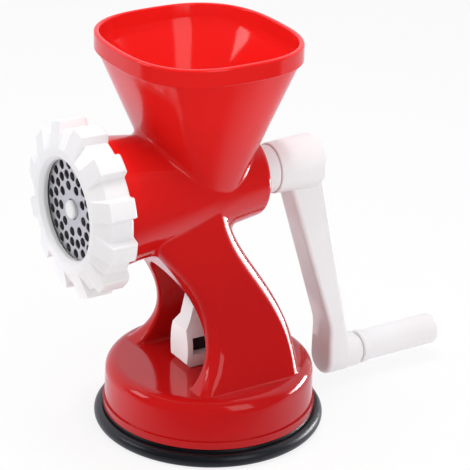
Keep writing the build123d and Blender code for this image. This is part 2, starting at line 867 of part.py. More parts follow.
def make_suction_lever():
    """Lever with two cheeks, a cam edge at its back and a tongue on top."""
    foot = base_top_height + face_gap
    cavity_radius = math.hypot(stem_head_front, stem_head_height / 2) + free_clearance
    shell_radius = cavity_radius + lever_shell
    cam = [cam_point(math.radians(lever_swing) * step / (cam_points - 1)) for step in range(cam_points)]
    tongue_top_x = lever_neck_x + lever_tongue_lean
    neck_back = (lever_neck_x + lever_tongue_thickness, pivot_height + shell_radius)
    shell_turn = math.radians(lever_shell_angle)
    shell_point = (shell_radius * math.cos(shell_turn), pivot_height + shell_radius * math.sin(shell_turn))
    swing = math.radians(lever_swing)
    side_face = make_face([
        Line((lever_front_x + lever_toe, foot), cam[0]),
        Spline(*cam, tangents=((1, 0), (math.cos(swing), math.sin(swing)))),
        ThreePointArc(cam[-1], shell_point, neck_back),
        Polyline(
            neck_back,
            (tongue_top_x + lever_tongue_thickness, lever_top_height),
            (tongue_top_x, lever_top_height),
            (lever_neck_x, lever_neck_height),
            (lever_front_x, lever_brow_height),
            (lever_front_x, foot + lever_toe),
            (lever_front_x + lever_toe, foot),
        ),
    ])
    side = through_y(side_face)
    tip = side.edges().filter_by(Axis.Y).sort_by(Axis.Z)[-2:]
    side = fillet(tip, lever_tongue_rounding)
    right_side = ThreePointArc(
        (lever_foot_half_width, foot - lever_toe),
        (lever_half_width, lever_belly_height),
        (lever_tongue_half_width, lever_neck_height),
    )
    above = lever_top_height + lever_toe
    right_edge = Line((lever_tongue_half_width, lever_neck_height), (lever_tongue_half_width, above))
    front_face = make_face([
        right_side,
        right_edge,
        mirror(right_side, Plane.YZ),
        mirror(right_edge, Plane.YZ),
        Line((-lever_foot_half_width, foot - lever_toe), (lever_foot_half_width, foot - lever_toe)),
        Line((-lever_tongue_half_width, above), (lever_tongue_half_width, above)),
    ])
    lever = side & through_x(front_face)
    gap = stem_head_width / 2 + free_clearance
    lever -= rod_y(cavity_radius, gap, 0, pivot_height)
    slot_height = pivot_height + stem_radius + free_clearance - foot
    slot = Box(shell_radius, 2 * gap, slot_height + face_gap, align=(Align.MIN, Align.CENTER, Align.MIN))
    lever -= Pos(0, 0, foot - face_gap) * slot
    window = Box(window_back_x - window_front_x, 2 * pad_radius, stem_head_height,
                 align=(Align.MIN, Align.CENTER, Align.CENTER))
    lever -= Pos(window_front_x, 0, pivot_height) * window
    return lever - rod_y(lever_pin_radius + running_clearance, 2 * lever_half_width, 0, pivot_height)


pieces = {
    "body": make_body,
    "ring_nut": make_ring_nut,
    "grinding_plate": make_plate,
    "knife": make_knife,
    "auger": make_auger,
    "drive_shank": make_drive_shank,
    "thrust_washer": make_thrust_washer,
    "rear_bush": make_rear_bush,
    "crank_arm": make_crank_arm,
    "crank_washer": make_crank_washer,
    "crank_screw": make_crank_screw,
    "handle_axle": make_handle_axle,
    "axle_washer": make_axle_washer,
    "handle_collar": make_handle_collar,
    "handle_grip": make_handle_grip,
    "grip_cap": make_grip_cap,
    "suction_pad": make_suction_pad,
    "pull_plate": make_pull_plate,
    "pull_stem": make_pull_stem,
    "lever_pin": make_lever_pin,
    "suction_lever": make_suction_lever,
}

if __name__ == "__main__":
    os.makedirs("parts", exist_ok=True)
    for name, make in pieces.items():
        export_step(make(), f"parts/{name}.step")
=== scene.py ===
"""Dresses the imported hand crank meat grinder: finishes, moulded pieces, studio and camera."""

import json
import math

import bmesh
import bpy
from mathutils import Matrix, Vector


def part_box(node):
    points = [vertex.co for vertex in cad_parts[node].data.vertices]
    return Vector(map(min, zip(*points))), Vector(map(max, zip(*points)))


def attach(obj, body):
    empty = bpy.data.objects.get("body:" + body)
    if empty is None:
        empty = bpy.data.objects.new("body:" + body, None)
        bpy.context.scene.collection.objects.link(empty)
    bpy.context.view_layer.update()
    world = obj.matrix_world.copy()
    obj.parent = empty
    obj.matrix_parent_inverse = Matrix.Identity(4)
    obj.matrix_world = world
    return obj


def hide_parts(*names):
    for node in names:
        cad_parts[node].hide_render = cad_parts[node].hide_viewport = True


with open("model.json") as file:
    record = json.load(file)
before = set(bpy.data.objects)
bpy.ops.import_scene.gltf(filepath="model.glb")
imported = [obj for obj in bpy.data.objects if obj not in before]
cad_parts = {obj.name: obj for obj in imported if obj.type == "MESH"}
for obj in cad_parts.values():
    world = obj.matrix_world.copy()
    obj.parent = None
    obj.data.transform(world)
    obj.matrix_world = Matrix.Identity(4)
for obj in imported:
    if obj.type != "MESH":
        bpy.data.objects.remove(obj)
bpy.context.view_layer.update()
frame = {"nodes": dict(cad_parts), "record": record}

bl_info = {
    "name": "Meat Grinder Dresser",
    "version": (1, 0, 0),
    "blender": (4, 5, 0),
    "location": "View3D > Sidebar > Grinder",
    "description": "Gives a packed hand crank meat grinder its finishes, pieces and studio",
    "category": "Object",
}

MM = 0.001

# Height of the barrel's axis above the table
AXIS_HEIGHT = 0.14575

# Points closer than this are one point, on copied or turned meshes and on the swept nut
MERGE = 0.002 * MM
SWEEP_MERGE = 0.005 * MM

# Faces of a copied mesh that meet at less than this become one
FLAT_ANGLE = math.radians(0.4)

# Edges that turn by more than this are rounded, on copied pieces and on the nut
COPY_SHARP = math.radians(30.0)
NUT_SHARP = math.radians(12.0)

# Segments of a rounded edge, on moulded and on steel pieces
MOULDED_SEGMENTS = 3
STEEL_SEGMENTS = 2

# The nut's sections across a tooth, as shares of half its width, and along a gap, as shares of its width
TOOTH_SHARES = (-1.0, -0.34, 0.34, 1.0)
GAP_SHARES = (0.0, 0.25, 0.5, 0.75, 1.0)

# Corner of the nut's section that lies on the front face's outer edge
FACE_CORNER = 2

# The pad's rounded rim: its start and sweep in degrees and its steps, and the steps of a whole turn
RIM_START = -90.0
RIM_SWEEP = 200.0
RIM_STEPS = 16
PAD_STEPS = 160

# Rise of the pad's upper side from the end of the rim's round to the neck
NECK_RISE = 0.3 * MM

# Lowest roughness of a moulded skin, and the share of its fine grain in the relief
SMOOTHEST = 0.02
GRAIN_SHARE = 0.12

# Range of the noise that makes the whole drift from one shade to the other
DRIFT_LOW = 0.3
DRIFT_HIGH = 0.7

# Share of the noise drift in the red's painted glow high up and painted shade low down, which otherwise
# follow the height
PAINTED_LIGHT_DRIFT = 0.12

# Steel: shade and scale of the stains, and gloss either way, relief and closeness of the rings
STAIN_SHADE = 0.86
STAIN_SCALE = 90.0
RING_SMOOTHER = 0.06
RING_ROUGHER = 0.08
RING_RELIEF = 0.1
RING_DEPTH = 0.2 * MM
PLATE_RINGS = 420.0
FASTENER_RINGS = 900.0

# Second shade of the grey and of the black plastic, against the first
GREY_SHADE = 0.85
BLACK_SHADE = 1.6

# Sockets of a mix node: share, two values and their mix, two colours and their mix
MIX_SHARE = 0
MIX_VALUES = (2, 3)
MIX_VALUE = 0
MIX_COLOURS = (6, 7)
MIX_COLOUR = 2

WHITE_LIGHT = (1.0, 1.0, 1.0)
FLOOR_CELLS = 8

# Where gloss sees gloom turn to white: on the floor, in metres beyond the origin as the camera looks,
# and in the room, as the share of a direction that goes the camera's way
FLOOR_FADE = (-0.12, -0.02)
BACKDROP_FADE = (-0.1, 0.4)

# Lamps: where they stand, what they shine at, and their sides or their cone
OBJECT_MIDDLE = (0.0, 0.0, 0.12)
KEY_PLACE = (-1.0, 0.45, 0.6)
KEY_SIZE = (0.4, 0.4)
FILL_PLACE = (0.1, -1.2, 0.75)
FILL_SIZE = (0.55, 1.1)
TOP_PLACE = (-0.05, -0.05, 0.85)
TOP_SIZE = (0.4, 0.4)
HOPPER_LAMP_PLACE = (-0.011, 0.0, 0.9)
HOPPER_MIDDLE = (-0.011, 0.0, 0.2)
HOPPER_CONE = math.radians(11.0)
BASE_LAMP_PLACE = (-0.9, 0.1, 0.35)
BASE_FRONT = (-0.03, 0.0, 0.04)
BASE_CONE = math.radians(7.5)
CARD_PLACE = (0.26, -0.09, 0.07)
CARD_AIM = (0.0, -0.09, 0.07)
CARD_SIZE = (0.17, 0.06)
CARD_SPREAD = math.radians(60.0)

# Soft share of a narrow lamp's cone, and the radius of its bulb
CONE_BLEND = 0.6
BULB_RADIUS = 0.03

# Width of the camera's sensor in millimetres
SENSOR_WIDTH = 36.0


def linear(red, green, blue):
    """A colour written as 0 to 255 screen values, as the linear values that shaders take."""
    values = []
    for part in (red, green, blue):
        share = part / 255.0
        values.append(share / 12.92 if share <= 0.04045 else ((share + 0.055) / 1.055) ** 2.4)
    return tuple(values)


def shaded(colour, factor):
    """A colour made darker or lighter by a factor."""
    return tuple(factor * part for part in colour)


def colour_setting(name, description, default):
    """A colour property for a finish."""
    return bpy.props.FloatVectorProperty(
        name=name, description=description, subtype="COLOR", size=3, min=0.0, max=1.0, default=default
    )


def share_setting(name, description, default):
    """A property from 0 to 1, such as a roughness."""
    return bpy.props.FloatProperty(
        name=name, description=description, subtype="FACTOR", min=0.0, max=1.0, default=default
    )


def length_setting(name, description, default):
    """A length in metres."""
    return bpy.props.FloatProperty(
        name=name, description=description, subtype="DISTANCE", unit="LENGTH", default=default, precision=5
    )


def angle_setting(name, description, degrees):
    """An angle, given in degrees."""
    return bpy.props.FloatProperty(
        name=name, description=description, subtype="ANGLE", unit="ROTATION", default=math.radians(degrees)
    )


def power_setting(name, description, default):
    """Power of a lamp in watts."""
    return bpy.props.FloatProperty(
        name=name, description=description, unit="POWER", min=0.0, default=default
    )


class GrinderFinishes(bpy.types.PropertyGroup):
    """Colours and gloss of the grinder's materials."""

    # The two reds carry painted light: the lighter red high up is painted glow, light let through the
    # hopper's thin walls, and the deeper red low down is painted shade on the legs and base
    red: colour_setting(
        "Red, thin walls", "Colour of the hopper, which lets light through", linear(230, 30, 27)
    )
    red_painted_shade: colour_setting(
        "Red, thick walls", "Deeper red of the legs and the base", linear(184, 18, 19)
    )
    # Heights where the red turns from painted shade low down to painted glow high up
    painted_glow_above: length_setting("Thin above", "Height above which the body has its lighter red", 0.2)
    painted_shade_below: length_setting("Thick below", "Height below which the body has its deeper red", 0.09)
    red_roughness: share_setting("Red roughness", "Roughness of the polished body", 0.1)
    white: colour_setting(
        "White plastic", "Colour of the nut, crank, grip and lever", linear(244, 244, 246)
    )
    white_warm: colour_setting(
        "White, warm drift", "Slightly warmer white that drifts through", linear(240, 237, 238)
    )
    white_roughness: share_setting("White roughness", "Roughness of the white plastic", 0.3)
    steel: colour_setting("Steel", "Colour of the plate, knife and fasteners", linear(214, 215, 217))
    steel_roughness: share_setting("Steel roughness", "Roughness of the ground steel", 0.36)
    rubber: colour_setting("Rubber", "Colour of the suction pad", linear(9, 13, 18))
    rubber_bloom: colour_setting("Rubber bloom", "Greyer patches on the suction pad", linear(18, 23, 29))
    rubber_roughness: share_setting("Rubber roughness", "Roughness of the suction pad", 0.34)
    grey: colour_setting("Grey plastic", "Colour of the hidden disc and washer", linear(150, 151, 153))
    grey_roughness: share_setting("Grey roughness", "Roughness of the hidden disc and washer", 0.5)
    black: colour_setting("Black plastic", "Colour of the pull stem", linear(18, 18, 19))
    black_roughness: share_setting("Black roughness", "Roughness of the pull stem", 0.4)


class GrinderNut(bpy.types.PropertyGroup):
    """Sizes of the ring nut's section and teeth."""

    front: length_setting("Front", "Place of the flat front face along the barrel", -92.5 * MM)
    length: length_setting("Length", "From the front face to the back", 19.6 * MM)
    lip: length_setting("Lip", "Thickness of the lip over the plate", 5.1 * MM)
    opening: length_setting("Opening", "Radius of the opening in front of the plate", 27.4 * MM)
    flare: length_setting("Flare", "Bevel at the opening's edge", 2.4 * MM)
    face: length_setting("Face", "Outer radius of the flat front face", 34.0 * MM)
    gap_radius: length_setting("Gap radius", "Radius between the teeth", 43.3 * MM)
    gap_slope: length_setting("Gap slope", "How far the front slopes back between the teeth", 5.6 * MM)
    tooth_radius: length_setting("Tooth radius", "Radius on the teeth", 48.2 * MM)
    tooth_slope: length_setting("Tooth slope", "How far the teeth slope back", 4.0 * MM)
    back_bevel: length_setting("Back bevel", "Bevel at the teeth's back", 1.2 * MM)
    thread: length_setting("Thread", "Radius of the threaded inside", 36.35 * MM)
    teeth: bpy.props.IntProperty(name="Teeth", description="Number of teeth", default=12, min=4, max=32)
    tip_angle: angle_setting("Tip angle", "Width of a tooth at its tip", 12.5)
    base_angle: angle_setting("Base angle", "Width of a tooth at its base", 16.0)
    face_angle: angle_setting("Face angle", "Width of a tooth where it leaves the front face", 20.4)
    phase: angle_setting("Phase", "Turn of the first tooth above the near side", 18.4)
    rounding: length_setting("Rounding", "Radius of the moulded edges", 0.9 * MM)


class GrinderPad(bpy.types.PropertyGroup):
    """Sizes of the suction pad."""

    radius: length_setting("Radius", "Outer radius of the pad's rim", 65.7 * MM)
    rim: length_setting("Rim", "Radius of the rounded rim", 4.1 * MM)
    neck: length_setting("Neck", "Radius of the pad under the base", 60.0 * MM)
    height: length_setting("Height", "Height of the pad's top", 10.15 * MM)


class GrinderEdges(bpy.types.PropertyGroup):
    """Width of the rounding on the edges of copied pieces."""

    plate: length_setting("Plate edges", "Rounding on the plate and round its holes", 0.35 * MM)
    knife: length_setting("Knife edges", "Rounding on the knife", 0.25 * MM)
    fastener: length_setting("Fastener edges", "Rounding on the crank's screw and washer", 0.2 * MM)
    collar: length_setting("Collar edges", "Rounding on the grip's collar", 0.5 * MM)
    lever: length_setting("Lever edges", "Rounding on the suction lever", 1.0 * MM)


class GrinderStage(bpy.types.PropertyGroup):
    """Camera, floor and lamps of the studio."""

    azimuth: angle_setting("Azimuth", "Camera's turn about the upright axis", -32.0322)
    elevation: angle_setting("Elevation", "Camera's height angle", 23.8093)
    roll: angle_setting("Roll", "Camera's turn about its line of sight", 1.5017)
    distance: length_setting("Distance", "From the camera to the point it looks at", 1.20012)
    target_x: length_setting("Target X", "Point that the camera looks at, along the barrel", 0.015286)
    target_z: length_setting("Target Z", "Point that the camera looks at, above the table", 0.109365)
    lens: bpy.props.FloatProperty(
        name="Lens", description="Focal length in millimetres", subtype="DISTANCE_CAMERA", default=163.86
    )
    floor_size: length_setting("Floor size", "Side of the floor", 8.0)
    floor_white: share_setting("Floor white", "Brightness of the floor", 0.95)
    floor_glow: share_setting("Floor glow", "Share of the floor's white that takes no shadow", 0.82)
    key: power_setting("Key lamp", "Power of the lamp beyond the plate", 1.8)
    fill: power_setting("Fill lamp", "Power of the wide lamp on the near side", 3.2)
    top: power_setting("Top lamp", "Power of the lamp overhead", 2.4)
    hopper: power_setting("Hopper lamp", "Power of the narrow lamp down into the hopper", 9.5)
    base: power_setting("Base lamp", "Power of the narrow lamp on the base's front and the lever", 9.0)
    card: power_setting("Edge card", "Power of the low card that lights the edges at the right", 0.12)
    room: share_setting("Room light", "Strength of the light from all round", 0.67)
    gloom: share_setting(
        "Gloom", "Brightness of the room in front and overhead, as mirrored in gloss", 0.08
    )
    backdrop: colour_setting("Backdrop", "Colour of the backdrop as mirrored in gloss", (0.94, 0.92, 1.0))


def finishes():
    """The finish settings of the scene."""
    return bpy.context.scene.grinder_finishes


def stage_settings():
    """The studio settings of the scene."""
    return bpy.context.scene.grinder_stage


def link(tree, source, target):
    """Joins an output socket to an input socket."""
    tree.links.new(source, target)


def give(tree, value, target):
    """Sets an input socket to a number, or joins another socket to it."""
    if isinstance(value, float):
        target.default_value = value
    else:
        link(tree, value, target)


def add_node(tree, kind, place, **values):
    """A new shader node with its input values set by socket name."""
    made = tree.nodes.new(kind)
    made.location = place
    for key, value in values.items():
        made.inputs[key.replace("_", " ")].default_value = value
    return made


def calculate(tree, operation, place, *values):
    """A math node on values that are each a socket or a number."""
    made = add_node(tree, "ShaderNodeMath", place)
    made.operation = operation
    for socket, value in zip(made.inputs, values):
        give(tree, value, socket)
    return made.outputs["Value"]


def map_range(tree, place, value, **limits):
    """A value carried from one range to another; a limit that isn't given is that of 0 to 1."""
    made = add_node(tree, "ShaderNodeMapRange", place, **limits)
    link(tree, value, made.inputs["Value"])
    return made


def mix_values(tree, place, share, *values):
    """A mix of two values by the share of the second, each a socket or a number."""
    made = add_node(tree, "ShaderNodeMix", place)
    give(tree, share, made.inputs[MIX_SHARE])
    for index, value in zip(MIX_VALUES, values):
        give(tree, value, made.inputs[index])
    return made.outputs[MIX_VALUE]


def mix_colours(tree, place, share, *colours):
    """A mix of two colours by a socket that gives the share of the second."""
    made = add_node(tree, "ShaderNodeMix", place)
    made.data_type = "RGBA"
    for index, colour in zip(MIX_COLOURS, colours):
        made.inputs[index].default_value = (*colour, 1.0)
    link(tree, share, made.inputs[MIX_SHARE])
    return made.outputs[MIX_COLOUR]


def new_material(name):
    """A new material with its node tree and its shader."""
    material = bpy.data.materials.new(name)
    material.use_nodes = True
    return material, material.node_tree, material.node_tree.nodes["Principled BSDF"]


def add_relief(tree, place, height, shader, strength, depth):
    """Gives a shader a fine relief that follows a height."""
    relief = add_node(tree, "ShaderNodeBump", place, Strength=strength, Distance=depth)
    link(tree, height, relief.inputs["Height"])
    link(tree, relief.outputs["Normal"], shader.inputs["Normal"])


def moulded_skin_group():
    """Shader group: slow drift of shade, fine gloss variation and the ripple of a moulded skin."""
    name = "moulded skin"
    if name in bpy.data.node_groups:
        return bpy.data.node_groups[name]
    group = bpy.data.node_groups.new(name, "ShaderNodeTree")
    sockets = group.interface
    for socket in ("Drift Scale", "Ripple Scale", "Grain Scale"):
        sockets.new_socket(socket, in_out="INPUT", socket_type="NodeSocketFloat")
    for socket in ("Drift", "Gloss", "Height"):
        sockets.new_socket(socket, in_out="OUTPUT", socket_type="NodeSocketFloat")
    inside = add_node(group, "NodeGroupInput", (-900, 0))
    outside = add_node(group, "NodeGroupOutput", (500, 0))
    place = add_node(group, "ShaderNodeTexCoord", (-900, 300))
    drift = add_node(group, "ShaderNodeTexNoise", (-500, 300), Detail=3.0, Roughness=0.5)
    ripple = add_node(group, "ShaderNodeTexNoise", (-500, 0), Detail=2.0, Roughness=0.4)
    grain = add_node(group, "ShaderNodeTexNoise", (-500, -300), Detail=4.0, Roughness=0.6)
    for texture, socket in ((drift, "Drift Scale"), (ripple, "Ripple Scale"), (grain, "Grain Scale")):
        link(group, place.outputs["Object"], texture.inputs["Vector"])
        link(group, inside.outputs[socket], texture.inputs["Scale"])
    spread = map_range(group, (-200, 300), drift.outputs["Fac"], From_Min=DRIFT_LOW, From_Max=DRIFT_HIGH)
    height = calculate(
        group, "MULTIPLY_ADD", (0, -100), grain.outputs["Fac"], GRAIN_SHARE, ripple.outputs["Fac"]
    )
    link(group, spread.outputs["Result"], outside.inputs["Drift"])
    link(group, grain.outputs["Fac"], outside.inputs["Gloss"])
    link(group, height, outside.inputs["Height"])
    return group


def painted_shade_mask(tree, drift, painted_shade_below, painted_glow_above):
    """Mask of painted shade on a moulding's lower part, giving way to painted glow on thin walls higher
    up, with some drift.
    """
    place = add_node(tree, "ShaderNodeTexCoord", (-1500, 500))
    parts = add_node(tree, "ShaderNodeSeparateXYZ", (-1300, 500))
    link(tree, place.outputs["Object"], parts.inputs["Vector"])
    # Share of painted shade: whole below the lower height, none above the upper one
    thick = map_range(
        tree, (-1100, 500), parts.outputs["Z"],
        From_Min=painted_shade_below, From_Max=painted_glow_above, To_Min=1.0, To_Max=0.0,
    )
    return mix_values(tree, (-700, 500), PAINTED_LIGHT_DRIFT, thick.outputs["Result"], drift)


def moulded_material(
    name, colours, roughness, *, drift, ripple, grain, relief, depth,
    gloss_spread=0.05, specular=0.5, walls=None,
):
    """A moulded plastic or rubber: two shades, uneven gloss and a rippled skin.

    The drift of shade, the ripple and the grain are noise scales. The walls are the heights between which
    the second shade, painted shade low down, gives way to the first, painted glow high up; without them
    the two drift through each other.
    """
    if name in bpy.data.materials:
        return bpy.data.materials[name]
    material, tree, shader = new_material(name)
    shader.inputs["Specular IOR Level"].default_value = specular
    skin = add_node(tree, "ShaderNodeGroup", (-900, 0))
    skin.node_tree = moulded_skin_group()
    for socket, scale in (("Drift Scale", drift), ("Ripple Scale", ripple), ("Grain Scale", grain)):
        skin.inputs[socket].default_value = scale
    second = skin.outputs["Drift"]
    # With heights given, the second colour is painted shade low down and the first painted glow high up
    if walls:
        second = painted_shade_mask(tree, second, *walls)
    link(tree, mix_colours(tree, (-500, 250), second, *colours), shader.inputs["Base Color"])
    gloss = map_range(
        tree, (-500, 0), skin.outputs["Gloss"],
        To_Min=max(roughness - gloss_spread, SMOOTHEST), To_Max=roughness + gloss_spread,
    )
    link(tree, gloss.outputs["Result"], shader.inputs["Roughness"])
    add_relief(tree, (-500, -250), skin.outputs["Height"], shader, relief, depth)
    return material


def turned_steel_material(name, centre, ring_scale):
    """Ground steel with fine rings about the barrel's direction and small stains."""
    if name in bpy.data.materials:
        return bpy.data.materials[name]
    values = finishes()
    material, tree, shader = new_material(name)
    shader.inputs["Metallic"].default_value = 1.0
    place = add_node(tree, "ShaderNodeTexCoord", (-1300, 0))
    mapping = add_node(tree, "ShaderNodeMapping", (-1100, 0), Location=tuple(-part for part in centre))
    rings = add_node(tree, "ShaderNodeTexWave", (-800, 100), Scale=ring_scale, Distortion=1.5, Detail=2.0)
    rings.wave_type = "RINGS"
    rings.rings_direction = "X"
    stains = add_node(
        tree, "ShaderNodeTexNoise", (-800, -200), Scale=STAIN_SCALE, Detail=4.0, Roughness=0.6
    )
    link(tree, place.outputs["Object"], mapping.inputs["Vector"])
    link(tree, mapping.outputs["Vector"], rings.inputs["Vector"])
    link(tree, place.outputs["Object"], stains.inputs["Vector"])
    shade = mix_colours(
        tree, (-400, 200), stains.outputs["Fac"], values.steel, shaded(values.steel, STAIN_SHADE)
    )
    link(tree, shade, shader.inputs["Base Color"])
    gloss = map_range(
        tree, (-400, -50), rings.outputs["Fac"],
        To_Min=values.steel_roughness - RING_SMOOTHER, To_Max=values.steel_roughness + RING_ROUGHER,
    )
    link(tree, gloss.outputs["Result"], shader.inputs["Roughness"])
    add_relief(tree, (-400, -300), rings.outputs["Fac"], shader, RING_RELIEF, RING_DEPTH)
    return material


def red_material():
    """Polished red plastic of the body."""
    values = finishes()
    return moulded_material(
        "red gloss moulding", (values.red, values.red_painted_shade), values.red_roughness,
        drift=14.0, ripple=45.0, grain=700.0, relief=0.06, depth=0.8 * MM,
        # The walls give the red painted glow high on the hopper and painted shade low on the legs and base
        gloss_spread=0.04, specular=0.42, walls=(values.painted_shade_below, values.painted_glow_above),
    )


def white_material():
    """White plastic of the nut, auger, bush, crank, grip and lever."""
    values = finishes()
    return moulded_material(
        "white moulded plastic", (values.white, values.white_warm), values.white_roughness,
        drift=22.0, ripple=90.0, grain=1400.0, relief=0.06, depth=0.4 * MM,
    )


def rubber_material():
    """Bluish black rubber of the suction pad."""
    values = finishes()
    return moulded_material(
        "pad rubber", (values.rubber, values.rubber_bloom), values.rubber_roughness,
        drift=30.0, ripple=140.0, grain=1800.0, relief=0.12, depth=0.4 * MM, gloss_spread=0.08,
    )


def grey_material():
    """Grey plastic of the hidden disc and washer."""
    values = finishes()
    return moulded_material(
        "grey plastic", (values.grey, shaded(values.grey, GREY_SHADE)), values.grey_roughness,
        drift=30.0, ripple=120.0, grain=1500.0, relief=0.1, depth=0.4 * MM,
    )


def black_material():
    """Black plastic of the pull stem."""
    values = finishes()
    return moulded_material(
        "black plastic", (values.black, shaded(values.black, BLACK_SHADE)), values.black_roughness,
        drift=40.0, ripple=160.0, grain=1500.0, relief=0.1, depth=0.4 * MM,
    )


def dress(node, material):
    """Gives a CAD node its material."""
    piece = frame["nodes"][node]
    piece.data.materials.clear()
    piece.data.materials.append(material)


def finish_piece(shape, name, material, node):
    """Turns a finished bmesh into a piece that stands for a CAD node and rides on its body."""
    bmesh.ops.recalc_face_normals(shape, faces=shape.faces)
    for face in shape.faces:
        face.smooth = True
    mesh = bpy.data.meshes.new(name)
    shape.to_mesh(mesh)
    shape.free()
    mesh.materials.append(material)
    piece = bpy.data.objects.new(name, mesh)
    bpy.context.scene.collection.objects.link(piece)
    weighted = piece.modifiers.new("even shading", "WEIGHTED_NORMAL")
    weighted.keep_sharp = True
    for body, nodes in frame["record"]["behaviour"]["bodies"].items():
        if node in nodes:
            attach(piece, body)
    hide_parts(node)


def round_edges(shape, width, segments, steeper_than):
    """Rounds every edge that turns by more than an angle."""
    sharp = [
        edge for edge in shape.edges
        if len(edge.link_faces) == 2 and edge.calc_face_angle() > steeper_than
    ]
    bmesh.ops.bevel(
        shape, geom=sharp, offset=width, offset_type="OFFSET", segments=segments, profile=0.5,
        affect="EDGES", material=-1, clamp_overlap=True, loop_slide=True,
    )


def softened_copy(name, node, material, width, segments):
    """A copy of a CAD node with its sharp edges rounded as moulding or grinding leaves them."""
    shape = bmesh.new()
    shape.from_mesh(frame["nodes"][node].data)
    bmesh.ops.remove_doubles(shape, verts=shape.verts, dist=MERGE)
    bmesh.ops.dissolve_limit(
        shape, angle_limit=FLAT_ANGLE, verts=shape.verts, edges=shape.edges,
        use_dissolve_boundaries=False,
    )
    round_edges(shape, width, segments, COPY_SHARP)
    finish_piece(shape, name, material, node)


def middle(low, high):
    """The middle of a box."""
    return (Vector(low) + Vector(high)) / 2


class GRINDER_OT_moulding(bpy.types.Operator):
    """Red body: base, pedestal, barrel and hopper"""

    bl_idname = "grinder.moulding"
    bl_label = "Red moulding"

    def execute(self, context):
        dress("body", red_material())
        return {"FINISHED"}


def nut_section(values, radius, slope):
    """Closed section of the nut as (along, radius) points, from the opening round to the thread."""
    back = values.front + values.length
    lip_back = values.front + values.lip
    return (
        (values.front + values.flare, values.opening),
        (values.front, values.opening + values.flare),
        (values.front, values.face),
        (values.front + slope, radius),
        (back - values.back_bevel, radius),
        (back, radius - values.back_bevel),
        (back, values.thread),
        (lip_back, values.thread),
        (lip_back, values.opening),
    )


def nut_stations(values):
    """Turns round the nut, each with the turn of the front face's edge and with its section."""
    tooth = nut_section(values, values.tooth_radius, values.tooth_slope)
    gap = nut_section(values, values.gap_radius, values.gap_slope)
    pitch = 2 * math.pi / values.teeth
    stations = []
    for step in range(values.teeth):
        centre = values.phase + step * pitch
        for share in TOOTH_SHARES:
            turn = centre + share * values.tip_angle / 2
            stations.append((turn, centre + share * values.face_angle / 2, tooth))
        start = centre + values.base_angle / 2
        face_start = centre + values.face_angle / 2
        for share in GAP_SHARES:
            turn = start + share * (pitch - values.base_angle)
            stations.append((turn, face_start + share * (pitch - values.face_angle), gap))
    return stations


def nut_shape(values):
    """The nut swept round its axis, section by section."""
    shape = bmesh.new()
    corner = shape.verts.layers.int.new("corner")
    stations = nut_stations(values)
    first_section = stations[0][-1]
    start = [shape.verts.new((along, 0.0, radius)) for along, radius in first_section]
    for index, vert in enumerate(start):
        vert[corner] = index
    edges = [shape.edges.new((start[index - 1], start[index])) for index in range(len(start))]

    def settle(verts, station):
        turn, face_turn, section = station
        for vert in verts:
            along, radius = section[vert[corner]]
            angle = face_turn if vert[corner] == FACE_CORNER else turn
            vert.co = (along, -radius * math.cos(angle), AXIS_HEIGHT + radius * math.sin(angle))

    settle(start, stations[0])
    for station in stations[1:] + stations[:1]:
        swept = bmesh.ops.extrude_edge_only(shape, edges=edges)["geom"]
        edges = [item for item in swept if isinstance(item, bmesh.types.BMEdge)]
        settle([item for item in swept if isinstance(item, bmesh.types.BMVert)], station)
    bmesh.ops.remove_doubles(shape, verts=shape.verts, dist=SWEEP_MERGE)
    return shape


class GRINDER_OT_outlet(bpy.types.Operator):
    """Ring nut, plate and knife at the front of the barrel"""

    bl_idname = "grinder.outlet"
    bl_label = "Nut, plate and knife"

    def execute(self, context):
        values = context.scene.grinder_nut
        edges = context.scene.grinder_edges
        shape = nut_shape(values)
        round_edges(shape, values.rounding, MOULDED_SEGMENTS, NUT_SHARP)
        finish_piece(shape, "nut_moulded", white_material(), "ring_nut")
        steel = turned_steel_material("turned steel", middle(*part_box("grinding_plate")), PLATE_RINGS)
        softened_copy("plate_ground", "grinding_plate", steel, edges.plate, STEEL_SEGMENTS)
        softened_copy("knife_ground", "knife", steel, edges.knife, STEEL_SEGMENTS)
        dress("drive_shank", steel)
        return {"FINISHED"}


class GRINDER_OT_drive(bpy.types.Operator):
    """Auger, bush, crank and the screw that holds it"""

    bl_idname = "grinder.drive"
    bl_label = "Auger and crank"

    def execute(self, context):
        edges = context.scene.grinder_edges
        white = white_material()
        for node in ("auger", "rear_bush", "crank_arm"):
            dress(node, white)
        softened_copy(
            "collar_moulded", "handle_collar", white, edges.collar, MOULDED_SEGMENTS
        )
        steel = turned_steel_material("fastener steel", middle(*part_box("crank_screw")), FASTENER_RINGS)
        softened_copy("screw_turned", "crank_screw", steel, edges.fastener, STEEL_SEGMENTS)
        softened_copy("washer_turned", "crank_washer", steel, edges.fastener, STEEL_SEGMENTS)
        for node in ("handle_axle", "axle_washer", "lever_pin"):
            dress(node, steel)
        return {"FINISHED"}


class GRINDER_OT_grip(bpy.types.Operator):
    """Turning grip and its end cap"""

    bl_idname = "grinder.grip"
    bl_label = "Grip"

    def execute(self, context):
        for node in ("handle_grip", "grip_cap"):
            dress(node, white_material())
        return {"FINISHED"}


def pad_outline(values):
    """Section of the pad as (radius, height) points: flat foot, rounded rim, neck and top."""
    points = [(0.0, 0.0)]
    rim_middle = values.radius - values.rim
    for step in range(RIM_STEPS + 1):
        turn = math.radians(RIM_START + step * RIM_SWEEP / RIM_STEPS)
        points.append((rim_middle + values.rim * math.cos(turn), values.rim + values.rim * math.sin(turn)))
    points.append((values.neck, points[-1][1] + NECK_RISE))
    points.append((values.neck, values.height))
    points.append((0.0, values.height))
    return points


